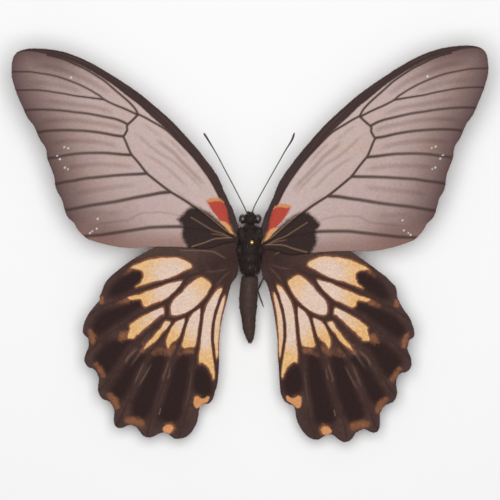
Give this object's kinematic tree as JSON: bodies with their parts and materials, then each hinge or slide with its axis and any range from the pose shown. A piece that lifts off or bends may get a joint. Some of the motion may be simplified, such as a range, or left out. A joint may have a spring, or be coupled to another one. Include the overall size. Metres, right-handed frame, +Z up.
{
  "type": "pinned butterfly specimen",
  "caption": "Large dark swallowtail butterfly with pale forewings and yellow-patched scalloped hindwings, spread flat with a round-headed insect pin through the thorax.",
  "frame": {"origin": "middle of the spread wings' outline, at the level of the flat under the thorax on which the specimen rests", "axes": "+X towards the right-hand wings as seen from above with the head at the top, +Y towards the head, +Z up out of the back"},
  "size_m": [0.1297, 0.1082, 0.0138],
  "materials": {
    "forewing": "matt wing scales, pinkish grey with dark veins",
    "hindwing": "velvet dark brown wing scales with yellow patches",
    "body_hair": "dense blackish brown hair",
    "abdomen_hair": "short reddish and olive brown scales",
    "antenna": "smooth blackish horn",
    "leg": "blackish brown horn",
    "eye": "glossy black",
    "pin_shaft": "polished wire",
    "pin_head": "polished"
  },
  "bodies": {
    "root": {"forewing_left": "forewing", "forewing_right": "forewing", "hindwing_left": "hindwing", "hindwing_right": "hindwing", "thorax": "body_hair", "abdomen": "abdomen_hair", "head": "body_hair", "eye_left": "eye", "eye_right": "eye", "palp_left": "body_hair", "palp_right": "body_hair", "antenna_left": "antenna", "antenna_right": "antenna", "leg_front_left": "leg", "leg_front_right": "leg", "leg_middle_left": "leg", "leg_middle_right": "leg", "leg_hind_left": "leg", "leg_hind_right": "leg", "pin_shaft": "pin_shaft", "pin_head": "pin_head"}
  },
  "joints": []
}
